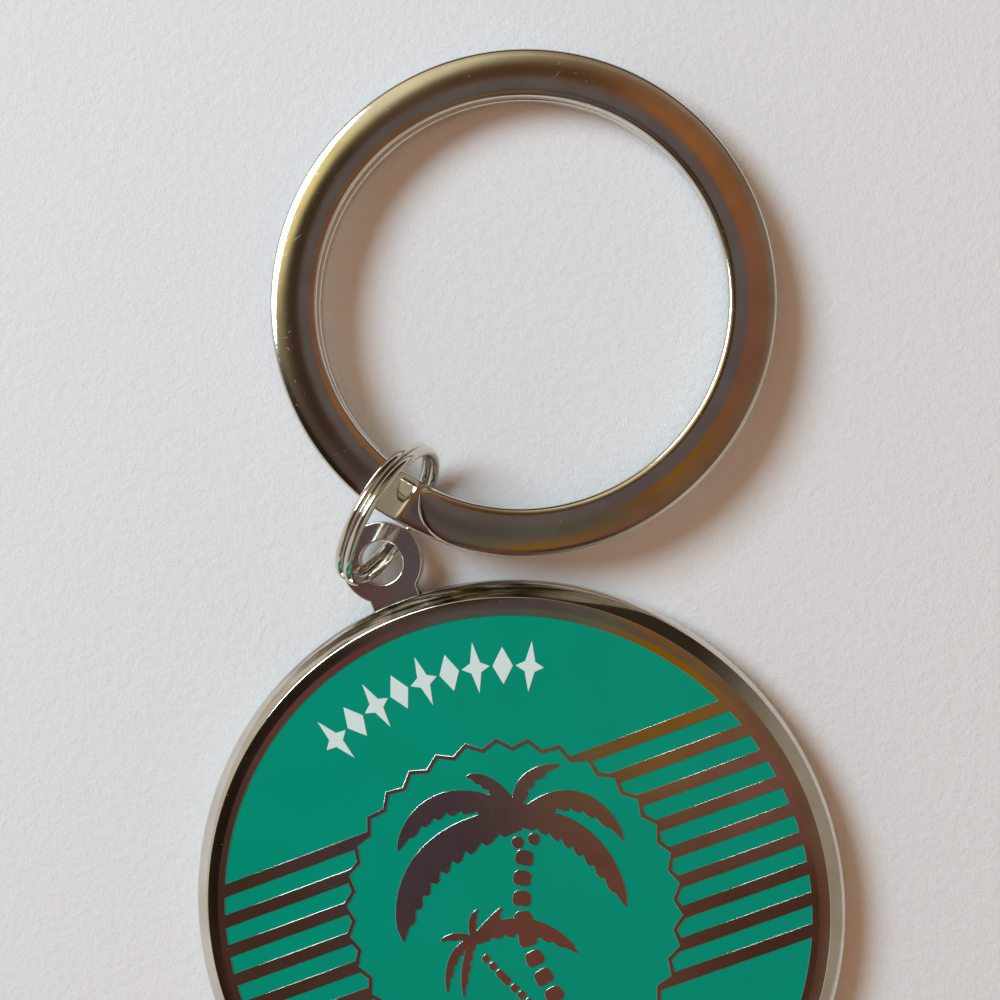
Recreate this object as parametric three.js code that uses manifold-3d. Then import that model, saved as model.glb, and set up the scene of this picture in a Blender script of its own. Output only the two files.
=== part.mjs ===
// Souvenir keychain: a cast medallion with enamel cells, a two-turn connector ring of round wire
// and a two-turn key ring of flat wire.
// Millimetres and degrees. The origin is the centre of the medallion's flat back face, +Z points out
// of the enamelled face, and +Y runs from the medallion's centre through its eyelet.
import * as THREE from 'three';
import { mergeVertices } from 'three/addons/utils/BufferGeometryUtils.js';
import Module from 'manifold-3d';

const wasm = await Module();
wasm.setup();

// ---- driving dimensions ----
const MEDALLION = { radius: 21, thickness: 3.5, faceRadius: 20, fieldRadius: 18.85 };
// The wall from the face's edge to its widest line, as [radius, depth below the face]; the back mirrors it.
const WALL_HALF = [[20, 0], [20.42, 0.36], [20.8, 0.72], [20.93, 0.92], [21, 1.3]];
const CELL_DEPTH = 0.6;
const LINE_ROOT = 0.1;
const ENAMEL_DROP = 0.06;
const FIT_GAP = 0.02;
const EYELET = { distance: 23.7, outerRadius: 2.65, holeRadius: 1.4, bottom: 1.3, top: 2.5 };
const NECK = { halfWidth: 1.6, from: 19.5, to: 21.7 };
const ZIGZAG = { teeth: 34, tipRadius: 10.92, notchRadius: 10.36, lineWidth: 0.25 };
const BARS = { perSide: 9, pitch: 1.88, width: 0.8, innerX: 6, rimOverlap: 0.5 };
const ORNAMENTS = { count: 9, radius: 15.65, span: 51, thickness: 0.04 };
const STAR = { halfHeight: 1.65, halfWidth: 0.92, waist: 0.46 };
const LOZENGE = { halfHeight: 1.2, halfWidth: 0.66 };
const CONNECTOR = {
  wire: 0.6, meanRadius: 4.7, pitch: 0.62, jogStart: 330, jogSpan: 25, endGap: 6,
  centre: [2.08, 26.37, 5.0], bearing: 50.7, lean: 79.9, twist: -75,
};
const KEY_RING = {
  outerRadius: 16, wireWidth: 3, wireHeight: 1.38, pitch: 1.42, edgeChamfer: 0.16,
  jogStart: 349.5, jogSpan: 10, endGap: 2, tilt: 3.8,
  eyeletGap: 0.15, bearing: 50.4, floorGap: 0.01,
};
const KEY_RING_TIP = { apex: -0.7, outerTaper: 13, innerTaper: 3.5, overcut: 0.8 };

// ---- smoothness of the faceted solids ----
const ROUND_STEPS = 72;
const EYELET_STEPS = 32;
const FROND_STEPS = 7;
const TRUNK_STEPS = 8;
const KEY_RING_STEPS = 118;
const CONNECTOR_STEPS = 70;
const WIRE_SIDES = 8;
const TIP_STEPS = 6;

// ---- levels ----
const FACE_Z = MEDALLION.thickness;
const FLOOR_Z = FACE_Z - CELL_DEPTH;
const ENAMEL_BOTTOM = FLOOR_Z + FIT_GAP;
const ENAMEL_TOP = FACE_Z - ENAMEL_DROP;
const BEYOND = 2;

// ---- materials ----
const nickel = new THREE.MeshStandardMaterial({ color: 0xc9c6c0, roughness: 0.12, metalness: 1 });
const greenEnamel = new THREE.MeshStandardMaterial({ color: 0x008468, roughness: 0.18, metalness: 0 });
const whiteEnamel = new THREE.MeshStandardMaterial({ color: 0xe4ecea, roughness: 0.35, metalness: 0 });

const radians = THREE.MathUtils.degToRad;
const point = (x, y) => new THREE.Vector2(x, y);

// A point at a bearing counted clockwise from +Y, seen from above the face.
function atBearing(bearing, radius) {
  return point(radius * Math.sin(radians(bearing)), radius * Math.cos(radians(bearing)));
}

// ---- closed solids ----
function toSolid(geometry) {
  geometry.deleteAttribute('normal');
  geometry.deleteAttribute('uv');
  const merged = mergeVertices(geometry, 1e-5);
  const vertProperties = new Float32Array(merged.attributes.position.array);
  const triVerts = new Uint32Array(merged.index.array);
  const solid = new wasm.Manifold(new wasm.Mesh({ numProp: 3, vertProperties, triVerts }));
  if (solid.volume() > 0) {
    return solid;
  }
  return new wasm.Manifold(new wasm.Mesh({ numProp: 3, vertProperties, triVerts: triVerts.reverse() }));
}

function toGeometry(solid) {
  const mesh = solid.getMesh();
  const geometry = new THREE.BufferGeometry();
  geometry.setAttribute('position', new THREE.BufferAttribute(mesh.vertProperties, mesh.numProp));
  geometry.setIndex(new THREE.BufferAttribute(mesh.triVerts, 1));
  geometry.computeVertexNormals();
  return geometry;
}

const joined = (solids) => solids.reduce((whole, solid) => whole.add(solid));
const cutBy = (solid, cutters) => cutters.reduce((rest, cutter) => rest.subtract(cutter), solid);

function prism(outline, bottom, top, holes = []) {
  const shape = new THREE.Shape(outline);
  for (const hole of holes) {
    shape.holes.push(new THREE.Path(hole));
  }
  const geometry = new THREE.ExtrudeGeometry(shape, { depth: top - bottom, bevelEnabled: false });
  geometry.translate(0, 0, bottom);
  return toSolid(geometry);
}

function block(x0, x1, y0, y1, bottom, top) {
  const geometry = new THREE.BoxGeometry(x1 - x0, y1 - y0, top - bottom);
  geometry.translate((x0 + x1) / 2, (y0 + y1) / 2, (bottom + top) / 2);
  return toSolid(geometry);
}

function circleOutline(radius, steps = ROUND_STEPS, centreY = 0) {
  const outline = [];
  for (let step = 0; step < steps; step += 1) {
    const angle = (2 * Math.PI * step) / steps;
    outline.push(point(radius * Math.cos(angle), centreY + radius * Math.sin(angle)));
  }
  return outline;
}

// ---- medallion blank: a round body with a bevelled and rounded wall and one shallow pan for the enamel ----
function medallionBlank() {
  const lower = WALL_HALF.map(([radius, depth]) => point(radius, depth));
  const upper = WALL_HALF.map(([radius, depth]) => point(radius, FACE_Z - depth)).reverse();
  const profile = [point(0, 0), ...lower, ...upper];
  profile.push(point(MEDALLION.fieldRadius, FACE_Z));
  profile.push(point(MEDALLION.fieldRadius, FLOOR_Z));
  profile.push(point(0, FLOOR_Z));
  const geometry = new THREE.LatheGeometry(profile, ROUND_STEPS);
  geometry.rotateX(Math.PI / 2);
  return toSolid(geometry);
}

function eyelet() {
  const ring = circleOutline(EYELET.outerRadius, EYELET_STEPS, EYELET.distance);
  const hole = circleOutline(EYELET.holeRadius, EYELET_STEPS, EYELET.distance);
  const tab = prism(ring, EYELET.bottom, EYELET.top, [hole]);
  const neck = block(-NECK.halfWidth, NECK.halfWidth, NECK.from, NECK.to, EYELET.bottom, EYELET.top);
  return tab.add(neck);
}

// ---- raised metal lines of the face ----
// The toothed circle, with its centre line moved outwards by the given amount.
function zigzagOutline(offset) {
  const outline = [];
  const halfPitch = 180 / ZIGZAG.teeth;
  const run = radians(halfPitch) * ((ZIGZAG.tipRadius + ZIGZAG.notchRadius) / 2);
  const slant = Math.atan2(run, ZIGZAG.tipRadius - ZIGZAG.notchRadius);
  for (let step = 0; step < 2 * ZIGZAG.teeth; step += 1) {
    const radius = step % 2 === 0 ? ZIGZAG.notchRadius : ZIGZAG.tipRadius;
    outline.push(atBearing(-step * halfPitch, radius + offset / Math.sin(slant)));
  }
  return outline;
}

const barHeight = (index) => (index - (BARS.perSide - 1) / 2) * BARS.pitch;

function barLines() {
  const reach = MEDALLION.fieldRadius + BARS.rimOverlap;
  const lines = [];
  for (const side of [-1, 1]) {
    for (let index = 0; index < BARS.perSide; index += 1) {
      const middle = barHeight(index);
      const inner = side * BARS.innerX;
      const outer = side * Math.sqrt(reach * reach - middle * middle);
      lines.push(block(
        Math.min(inner, outer), Math.max(inner, outer),
        middle - BARS.width / 2, middle + BARS.width / 2, FLOOR_Z - LINE_ROOT, FACE_Z,
      ));
    }
  }
  const sunDisc = prism(zigzagOutline(0), 0, FACE_Z + BEYOND);
  return joined(lines).subtract(sunDisc);
}

function zigzagLine() {
  const outer = zigzagOutline(ZIGZAG.lineWidth / 2);
  const inner = zigzagOutline(-ZIGZAG.lineWidth / 2);
  return prism(outer, FLOOR_Z - LINE_ROOT, FACE_Z, [inner]);
}

// ---- palms: each frond is a curved blade, each trunk a curved strip ----
const TALL_PALM_CROWN = [2.6, 5.3];
const TALL_PALM_FRONDS = [
  { bend: [1.9, 8.4], tip: [0.3, 9.0], width: 0.95 },
  { bend: [3.1, 8.1], tip: [6.2, 7.6], width: 1.0 },
  { bend: [-1.6, 9.9], tip: [-5.6, 6.1], width: 1.6 },
  { bend: [-5.0, 6.4], tip: [-7.4, 0.5], width: 2.3 },
  { bend: [7.2, 6.7], tip: [8.3, 1.8], width: 1.35 },
  { bend: [6.8, 3.6], tip: [6.9, -2.2], width: 1.75 },
];
const TALL_PALM_TRUNK = {
  points: [[1.95, 3.25], [1.27, 1.6], [0.3, -1.2], [0.15, -3.4], [0.8, -7.6]],
  width: 1.15,
};
const SMALL_PALM_CROWN = [-3.0, -0.9];
const SMALL_PALM_FRONDS = [
  { bend: [-2.9, 0.3], tip: [-2.1, 0.8], width: 0.55 },
  { bend: [-4.2, -0.1], tip: [-5.1, -0.3], width: 0.5 },
  { bend: [-1.7, -0.5], tip: [-0.6, 0.4], width: 0.75 },
  { bend: [-4.9, -1.0], tip: [-5.9, -3.5], width: 0.65 },
  { bend: [-4.2, -2.1], tip: [-5.0, -4.1], width: 0.6 },
  { bend: [0.9, -0.3], tip: [2.9, -3.9], width: 1.25 },
];
const SMALL_PALM_TRUNK = { points: [[-2.75, -2.3], [-2.1, -3.9], [-0.9, -6.4]], width: 0.55 };
const COCONUTS = [[1.9, 3.95], [2.95, 3.8]];
const COCONUT_RADIUS = 0.4;
const COCONUT_SIDES = 10;
const ISLAND = { halfWidth: 4.6, baseY: -8.7, shoreY: -8.1, topY: -7.2, steps: 8 };
const BLADE_ROOT = 0.12;

// Outline of a strip along a curve; halfWidthAt gives its half width from 0 at the start to 1 at the end.
function stripOutline(curve, steps, halfWidthAt, endExtra) {
  const left = [];
  const right = [];
  for (let step = 0; step <= steps; step += 1) {
    const along = step / steps;
    const centre = curve.getPoint(along);
    const heading = curve.getTangent(along);
    const half = halfWidthAt(along);
    const shift = (along === 1 ? endExtra : 0) - (along === 0 ? endExtra : 0);
    centre.addScaledVector(heading, shift);
    const side = point(-heading.y, heading.x).multiplyScalar(half);
    left.push(centre.clone().add(side));
    right.unshift(centre.clone().sub(side));
  }
  return [...left, ...right];
}

function frondOutline(crown, frond, margin) {
  const curve = new THREE.QuadraticBezierCurve(point(...crown), point(...frond.bend), point(...frond.tip));
  const halfWidthAt = (along) => {
    const swell = Math.sin(Math.PI * (BLADE_ROOT + (1 - BLADE_ROOT) * along));
    return Math.max(0.03, (frond.width / 2) * Math.sqrt(Math.max(0, swell))) + margin;
  };
  return stripOutline(curve, FROND_STEPS, halfWidthAt, margin);
}

function trunkOutline(trunk, margin) {
  const curve = new THREE.SplineCurve(trunk.points.map((xy) => point(...xy)));
  return stripOutline(curve, TRUNK_STEPS, () => trunk.width / 2 + margin, margin);
}

function islandOutline(margin) {
  const half = ISLAND.halfWidth + margin;
  const outline = [point(-half, ISLAND.baseY - margin), point(half, ISLAND.baseY - margin)];
  for (let step = 0; step <= ISLAND.steps; step += 1) {
    const angle = (Math.PI * step) / ISLAND.steps;
    const height = ISLAND.shoreY + (ISLAND.topY - ISLAND.shoreY) * Math.sin(angle) + margin;
    outline.push(point(half * Math.cos(angle), height));
  }
  return outline;
}

function coconutOutline(xy, margin) {
  return circleOutline(COCONUT_RADIUS + margin, COCONUT_SIDES).map((corner) => corner.add(point(...xy)));
}

// Every raised figure of the sun field, widened by a margin.
function figureOutlines(margin) {
  return [
    ...TALL_PALM_FRONDS.map((frond) => frondOutline(TALL_PALM_CROWN, frond, margin)),
    ...SMALL_PALM_FRONDS.map((frond) => frondOutline(SMALL_PALM_CROWN, frond, margin)),
    ...COCONUTS.map((xy) => coconutOutline(xy, margin)),
    trunkOutline(TALL_PALM_TRUNK, margin),
    trunkOutline(SMALL_PALM_TRUNK, margin),
    islandOutline(margin),
  ];
}

function figures(margin, bottom, top) {
  return joined(figureOutlines(margin).map((outline) => prism(outline, bottom, top)));
}

function medallionBody() {
  const palms = figures(0, FLOOR_Z - LINE_ROOT, FACE_Z);
  return joined([medallionBlank(), eyelet(), zigzagLine(), barLines(), palms]);
}

// ---- enamel: each cell's filling is cut from one round wafer ----
const enamelWafer = () => prism(circleOutline(MEDALLION.fieldRadius - FIT_GAP), ENAMEL_BOTTOM, ENAMEL_TOP);
const sunCutter = () => prism(zigzagOutline(ZIGZAG.lineWidth / 2 + FIT_GAP), 0, FACE_Z + BEYOND);

function outerField(side) {
  const edge = barHeight(BARS.perSide - 1) + BARS.width / 2 + FIT_GAP;
  const reach = MEDALLION.radius + BEYOND;
  const band = side > 0
    ? block(-reach, reach, edge, reach, 0, FACE_Z + BEYOND)
    : block(-reach, reach, -reach, -edge, 0, FACE_Z + BEYOND);
  return enamelWafer().intersect(band).subtract(sunCutter());
}

function slotFilling(side, index) {
  const low = barHeight(index) + BARS.width / 2 + FIT_GAP;
  const high = barHeight(index + 1) - BARS.width / 2 - FIT_GAP;
  const reach = MEDALLION.radius + BEYOND;
  const band = side > 0
    ? block(0, reach, low, high, 0, FACE_Z + BEYOND)
    : block(-reach, 0, low, high, 0, FACE_Z + BEYOND);
  return enamelWafer().intersect(band).subtract(sunCutter());
}

function sunField() {
  const wafer = prism(zigzagOutline(-ZIGZAG.lineWidth / 2 - FIT_GAP), ENAMEL_BOTTOM, ENAMEL_TOP);
  return wafer.subtract(figures(FIT_GAP, 0, FACE_Z + BEYOND));
}

// ---- printed ornaments in an arch over the sun: stars and lozenges in turn ----
function ornamentOutline(index) {
  if (index % 2 === 1) {
    const { halfHeight, halfWidth } = LOZENGE;
    return [point(0, -halfHeight), point(halfWidth, 0), point(0, halfHeight), point(-halfWidth, 0)];
  }
  const outline = [];
  for (let corner = 0; corner < 8; corner += 1) {
    const angle = (Math.PI * corner) / 4;
    const reach = corner % 2 === 1 ? STAR.waist : [STAR.halfWidth, STAR.halfHeight][(corner / 2) % 2];
    outline.push(point(reach * Math.cos(angle), reach * Math.sin(angle)));
  }
  return outline;
}

function ornament(index) {
  const bearing = ORNAMENTS.span * (index / (ORNAMENTS.count - 1) - 0.5);
  const centre = atBearing(bearing, ORNAMENTS.radius);
  const outline = ornamentOutline(index).map((corner) => (
    corner.rotateAround(point(0, 0), -radians(bearing)).add(centre)
  ));
  const bottom = ENAMEL_TOP + FIT_GAP / 2;
  return prism(outline, bottom, bottom + ORNAMENTS.thickness);
}

// ---- two-turn split rings ----
// The wire starts in the upper layer, steps down once by the pitch, and ends in the lower layer.
class SplitRingPath extends THREE.Curve {
  constructor({ radius, pitch, jogStart, jogSpan, from, to }) {
    super();
    Object.assign(this, { radius, pitch, jogStart, jogSpan, from, to });
  }

  getPoint(along, target = new THREE.Vector3()) {
    const angle = this.from + (this.to - this.from) * along;
    const fall = THREE.MathUtils.smoothstep(angle, this.jogStart, this.jogStart + this.jogSpan);
    const turn = radians(angle);
    return target.set(this.radius * Math.cos(turn), this.radius * Math.sin(turn), this.pitch * (0.5 - fall));
  }

  // The section keeps one side pointing straight away from the ring's axis.
  computeFrenetFrames(segments) {
    const tangents = [];
    const normals = [];
    const binormals = [];
    for (let step = 0; step <= segments; step += 1) {
      const tangent = this.getTangentAt(step / segments);
      const normal = this.getPointAt(step / segments).setZ(0).normalize();
      tangents.push(tangent);
      normals.push(normal);
      binormals.push(new THREE.Vector3().crossVectors(tangent, normal).normalize());
    }
    return { tangents, normals, binormals };
  }
}

function splitRing(ring, radius, section, steps) {
  const path = new SplitRingPath({
    radius, pitch: ring.pitch, jogStart: ring.jogStart, jogSpan: ring.jogSpan,
    from: ring.jogStart + ring.jogSpan - 360 + ring.endGap, to: ring.jogStart + 360 - ring.endGap,
  });
  path.arcLengthDivisions = 4 * steps;
  return toSolid(new THREE.ExtrudeGeometry(new THREE.Shape(section), { steps, extrudePath: path }));
}

function chamferedSection(width, height, chamfer) {
  const x = width / 2;
  const y = height / 2;
  return [
    point(x - chamfer, -y), point(x, chamfer - y), point(x, y - chamfer), point(x - chamfer, y),
    point(chamfer - x, y), point(-x, y - chamfer), point(-x, chamfer - y), point(chamfer - x, -y),
  ];
}

// A free end seen from above narrows to a blunt point near its inner side: this is the metal that is
// taken off beside it. The end lies at endAngle, and side is 1 where the wire runs on to higher angles.
function tipCutter(endAngle, side, meanRadius, bottom, top) {
  const { apex, outerTaper, innerTaper, overcut } = KEY_RING_TIP;
  const half = KEY_RING.wireWidth / 2;
  const polar = (angle, radius) => point(radius * Math.cos(radians(angle)), radius * Math.sin(radians(angle)));
  const outline = [];
  for (let step = 0; step <= 2 * TIP_STEPS; step += 1) {
    const across = step < TIP_STEPS ? 1 - step / TIP_STEPS : step / TIP_STEPS - 1;
    const taper = step < TIP_STEPS ? innerTaper : outerTaper;
    const limit = step < TIP_STEPS ? -1 : 1;
    const angle = endAngle + side * taper * (1 - Math.sqrt(1 - across * across));
    outline.push(polar(angle, meanRadius + half * (apex + (limit - apex) * across)));
  }
  outline.push(polar(endAngle + side * outerTaper, meanRadius + half + 1));
  outline.push(polar(endAngle - side * overcut, meanRadius + half + 1));
  outline.push(polar(endAngle - side * overcut, meanRadius - half - 1));
  outline.push(polar(endAngle + side * innerTaper, meanRadius - half - 1));
  return prism(outline, bottom, top);
}

function keyRing() {
  const meanRadius = KEY_RING.outerRadius - KEY_RING.wireWidth / 2;
  const section = chamferedSection(KEY_RING.wireWidth, KEY_RING.wireHeight, KEY_RING.edgeChamfer);
  const ring = splitRing(KEY_RING, meanRadius, section, KEY_RING_STEPS);
  const upperEnd = KEY_RING.jogStart + KEY_RING.jogSpan + KEY_RING.endGap;
  const lowerEnd = KEY_RING.jogStart - KEY_RING.endGap;
  return cutBy(ring, [
    tipCutter(upperEnd, 1, meanRadius, FIT_GAP / 2, BEYOND),
    tipCutter(lowerEnd, -1, meanRadius, -BEYOND, -FIT_GAP / 2),
  ]);
}

function connectorRing() {
  const section = circleOutline(CONNECTOR.wire / 2, WIRE_SIDES);
  return splitRing(CONNECTOR, CONNECTOR.meanRadius, section, CONNECTOR_STEPS);
}

// ---- the assembly ----
function named(name, solid, material) {
  const mesh = new THREE.Mesh(toGeometry(solid), material);
  mesh.name = name;
  return mesh;
}

const medallion = new THREE.Group();
medallion.add(named('medallion_body', medallionBody(), nickel));
medallion.add(named('enamel_upper_field', outerField(1), greenEnamel));
medallion.add(named('enamel_lower_field', outerField(-1), greenEnamel));
medallion.add(named('enamel_sun_field', sunField(), greenEnamel));
for (let index = 0; index < BARS.perSide - 1; index += 1) {
  medallion.add(named(`enamel_slot_left_${index + 1}`, slotFilling(-1, index), greenEnamel));
  medallion.add(named(`enamel_slot_right_${index + 1}`, slotFilling(1, index), greenEnamel));
}
for (let index = 0; index < ORNAMENTS.count; index += 1) {
  medallion.add(named(`white_ornament_${index + 1}`, ornament(index), whiteEnamel));
}

// The connector ring stands in the eyelet, leaning over, and its long way points at the key ring.
const connector = new THREE.Group();
connector.position.set(...CONNECTOR.centre);
connector.rotation.set(radians(CONNECTOR.lean), 0, radians(90 - CONNECTOR.bearing), 'ZYX');
const connectorMesh = named('connector_ring', connectorRing(), nickel);
connectorMesh.rotation.z = radians(CONNECTOR.twist);
connector.add(connectorMesh);

// The key ring rests on its far edge, with its near side propped up inside the connector ring.
const keyRingCentre = atBearing(KEY_RING.bearing, KEY_RING.outerRadius + KEY_RING.eyeletGap + EYELET.outerRadius);
keyRingCentre.y += EYELET.distance;
const keyRingRise = KEY_RING.outerRadius * Math.sin(radians(KEY_RING.tilt)) + KEY_RING.floorGap;
const keyRingHolder = new THREE.Group();
keyRingHolder.position.set(keyRingCentre.x, keyRingCentre.y, keyRingRise);
keyRingHolder.rotation.set(0, -radians(KEY_RING.tilt), radians(270 - KEY_RING.bearing), 'ZYX');
const keyRingMesh = named('key_ring', keyRing(), nickel);
keyRingMesh.position.z = (KEY_RING.pitch + KEY_RING.wireHeight) / 2;
keyRingHolder.add(keyRingMesh);

const group = new THREE.Group();
group.add(medallion, connector, keyRingHolder);

export default group;
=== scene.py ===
"""Looks of the souvenir keychain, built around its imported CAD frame.

A cast nickel medallion with green enamel cells and white printed ornaments, a connector ring of
round wire and a key ring of flat wire. Shapes are worked out in millimetres and turned into metres
when a mesh is made. The frame's origin is the centre of the medallion's flat back; +Y runs through
its eyelet and +Z out of its enamelled face.
"""

import math

import bmesh
import bpy
import numpy as np
from mathutils import Matrix, Vector
from mathutils.geometry import delaunay_2d_cdt


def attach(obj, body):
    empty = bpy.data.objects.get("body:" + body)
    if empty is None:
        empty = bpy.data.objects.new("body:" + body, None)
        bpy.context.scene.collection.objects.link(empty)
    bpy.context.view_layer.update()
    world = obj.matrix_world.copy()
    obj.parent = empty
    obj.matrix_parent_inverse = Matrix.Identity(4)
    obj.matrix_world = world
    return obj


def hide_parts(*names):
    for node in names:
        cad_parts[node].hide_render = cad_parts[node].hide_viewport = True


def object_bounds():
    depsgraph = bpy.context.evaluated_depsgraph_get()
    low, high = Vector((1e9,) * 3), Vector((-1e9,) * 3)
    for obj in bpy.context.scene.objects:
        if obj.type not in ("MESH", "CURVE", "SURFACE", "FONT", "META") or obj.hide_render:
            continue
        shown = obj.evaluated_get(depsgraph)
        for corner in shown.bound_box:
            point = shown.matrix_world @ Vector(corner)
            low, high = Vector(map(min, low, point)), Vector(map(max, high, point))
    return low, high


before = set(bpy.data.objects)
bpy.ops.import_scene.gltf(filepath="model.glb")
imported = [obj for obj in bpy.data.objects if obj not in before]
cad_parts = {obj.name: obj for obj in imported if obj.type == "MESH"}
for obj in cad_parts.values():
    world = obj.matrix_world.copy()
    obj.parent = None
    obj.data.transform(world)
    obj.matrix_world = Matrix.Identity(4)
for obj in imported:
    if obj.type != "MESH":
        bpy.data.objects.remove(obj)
cad_low, cad_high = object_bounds()

MM = 0.001
# Lengths that differ by less than this, in millimetres, count as the same.
CLOSE = 1e-5

# ---- the medallion, in millimetres: the CAD source's driving sizes, with finer edges of its own ----
RADIUS = 21.0
THICKNESS = 3.5
FACE_RADIUS = 20.0
FIELD_RADIUS = 18.85
FLAT_RIM_RADIUS = 19.3
RIM_CROWN_DROP = 0.02
RIM_CROWN_SLOPE = 0.045
RIM_EDGE_ROUND = 0.05
RIM_EDGE_START = (0.03, -0.026)
# Corners of the wall's curves as (radius, depth below the face), and the depth of its widest line.
WALL = {
    "bevel_bend": (20.42, 0.37), "bevel_end": (20.8, 0.74),
    "bulge_bend": (20.97, 0.92), "widest_depth": 1.5,
}
# The rounded edge of the back as (inset from the face's radius, height).
BACK_EDGE = [(0.12, 0.0), (0.03, 0.015)]
CELL_DEPTH = 0.6
FLOOR_Z = THICKNESS - CELL_DEPTH
METAL_EDGE_ROUND = 0.014
EYELET = {"distance": 23.7, "outer": 2.65, "hole": 1.4, "bottom": 1.3, "top": 2.5, "round": 0.09}
NECK = {"half_width": 1.6, "start": 19.5, "end": 21.7}
ZIGZAG = {"teeth": 34, "tip": 10.92, "notch": 10.36, "line": 0.25}
BARS = {"per_side": 9, "pitch": 1.88, "width": 0.8, "inner_x": 6.0, "outer_x": 20.0}
ENAMEL = {
    "gap": 0.004, "floor_gap": 0.01, "drop": 0.06,
    "edge_drop": 0.04, "edge_width": 0.045, "edge_bend_rise": 0.005,
}
ORNAMENTS = {"count": 9, "radius": 15.65, "span": 51, "thickness": 0.04, "round": 0.03}
STAR = {"half_height": 1.65, "half_width": 0.92, "waist": 0.46}
LOZENGE = {"half_height": 1.2, "half_width": 0.66}

# ---- the two split rings ----
CONNECTOR = {
    "wire": 0.6, "mean_radius": 4.7, "pitch": 0.62, "jog_start": 330, "jog_span": 25, "end_gap": 6,
    "centre": (2.08, 26.37, 5.0), "bearing": 50.7, "lean": 79.9, "twist": -75,
    "end_taper": 3.0, "end_share": 0.45, "step_angle": 3.0,
}
KEY_RING = {
    "outer_radius": 16.0, "width": 3.0, "height": 1.38, "pitch": 1.42, "edge_round": 0.2, "crown": 0.08,
    "jog_start": 349.5, "jog_span": 10, "end_gap": 2, "tilt": 3.8,
    "eyelet_gap": 0.15, "bearing": 50.4, "floor_gap": 0.01, "step_angle": 1.5,
}
KEY_RING_TIP = {"apex": -0.7, "outer_taper": 13.0, "inner_taper": 3.5, "least_half_width": 0.06}

# ---- smoothness ----
ROUND_STEPS = 360
EYELET_STEPS = 96
BEVEL_STEPS = 3
WALL_STEPS = 8
SHOULDER_STEPS = 6
CROWN_STEPS = 10
# Above 1, this crowds the crown's steps towards the rim's edge.
CROWN_CROWDING = 1.6
FROND_STEPS = 16
BLOCK_STEPS = 20
WIRE_SIDES = 24
FLAT_WIRE_CORNER_STEPS = 4
FLAT_WIRE_SHARES = (0.75, 0.5, 0.25, 0, -0.25, -0.5, -0.75)
TAPER_STEPS = 14


# ---------------------------------------------------------------- outlines in the face's plane
def at_bearing(bearing, radius):
    """A point at a bearing counted clockwise from +Y, seen from above the face."""
    return Vector((radius * math.sin(math.radians(bearing)), radius * math.cos(math.radians(bearing))))


def circle(radius, steps, centre=(0, 0)):
    turns = [2 * math.pi * step / steps for step in range(steps)]
    return [Vector((centre[0] + radius * math.cos(a), centre[1] + radius * math.sin(a))) for a in turns]


def rectangle(x0, x1, y0, y1):
    return [Vector((x0, y0)), Vector((x1, y0)), Vector((x1, y1)), Vector((x0, y1))]


def zigzag(offset):
    """The toothed circle, its line moved outwards by offset."""
    half_pitch = 180 / ZIGZAG["teeth"]
    run = math.radians(half_pitch) * (ZIGZAG["tip"] + ZIGZAG["notch"]) / 2
    slant = math.atan2(run, ZIGZAG["tip"] - ZIGZAG["notch"])
    corners = []
    for step in range(2 * ZIGZAG["teeth"]):
        radius = ZIGZAG["tip"] if step % 2 else ZIGZAG["notch"]
        corners.append(at_bearing(-step * half_pitch, radius + offset / math.sin(slant)))
    return corners


def bar_height(index):
    return (index - (BARS["per_side"] - 1) / 2) * BARS["pitch"]


def bar_outlines():
    outlines = []
    for side in (-1, 1):
        for index in range(BARS["per_side"]):
            low = bar_height(index) - BARS["width"] / 2
            ends = sorted((side * BARS["inner_x"], side * BARS["outer_x"]))
            outlines.append(rectangle(ends[0], ends[1], low, low + BARS["width"]))
    return outlines


def bezier(start, bend, end, along):
    a, b, c = Vector(start), Vector(bend), Vector(end)
    place = a * (1 - along) ** 2 + b * 2 * along * (1 - along) + c * along ** 2
    heading = (b - a) * (1 - along) + (c - b) * along
    return place, heading.normalized()


# Each frond is a curved blade with leaflets cut into its lower side.
TALL_PALM_CROWN = (2.6, 5.3)
TALL_PALM_FRONDS = [
    {"bend": (1.9, 8.4), "tip": (0.3, 9.0), "width": 0.95, "teeth": 5},
    {"bend": (3.1, 8.1), "tip": (6.2, 7.6), "width": 1.0, "teeth": 4},
    {"bend": (-1.6, 9.9), "tip": (-5.6, 6.1), "width": 1.6, "teeth": 7},
    {"bend": (-5.0, 6.4), "tip": (-7.4, 0.5), "width": 2.3, "teeth": 9},
    {"bend": (7.2, 6.7), "tip": (8.3, 1.8), "width": 1.35, "teeth": 6},
    {"bend": (6.8, 3.6), "tip": (6.9, -2.2), "width": 1.75, "teeth": 8},
]
TALL_PALM_TRUNK = [(1.95, 2.9), (1.27, 1.6), (0.7, 0.2), (0.3, -1.2), (0.15, -2.9), (0.3, -4.6), (0.75, -7.2)]
TALL_TRUNK_BLOCKS = {"count": 9, "half_width": 0.6, "half_height": 0.5}
SMALL_PALM_CROWN = (-3.0, -0.9)
SMALL_PALM_FRONDS = [
    {"bend": (-2.9, 0.3), "tip": (-2.1, 0.8), "width": 0.55, "teeth": 3},
    {"bend": (-4.2, -0.1), "tip": (-5.1, -0.3), "width": 0.5, "teeth": 2},
    {"bend": (-1.7, -0.5), "tip": (-0.6, 0.4), "width": 0.75, "teeth": 4},
    {"bend": (-4.9, -1.0), "tip": (-5.9, -3.5), "width": 0.65, "teeth": 4},
    {"bend": (-4.2, -2.1), "tip": (-5.0, -4.1), "width": 0.6, "teeth": 4},
    {"bend": (0.9, -0.3), "tip": (2.9, -3.9), "width": 1.25, "teeth": 7},
]
SMALL_PALM_TRUNK = [(-2.75, -2.3), (-2.1, -3.9), (-0.9, -6.4)]
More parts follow.
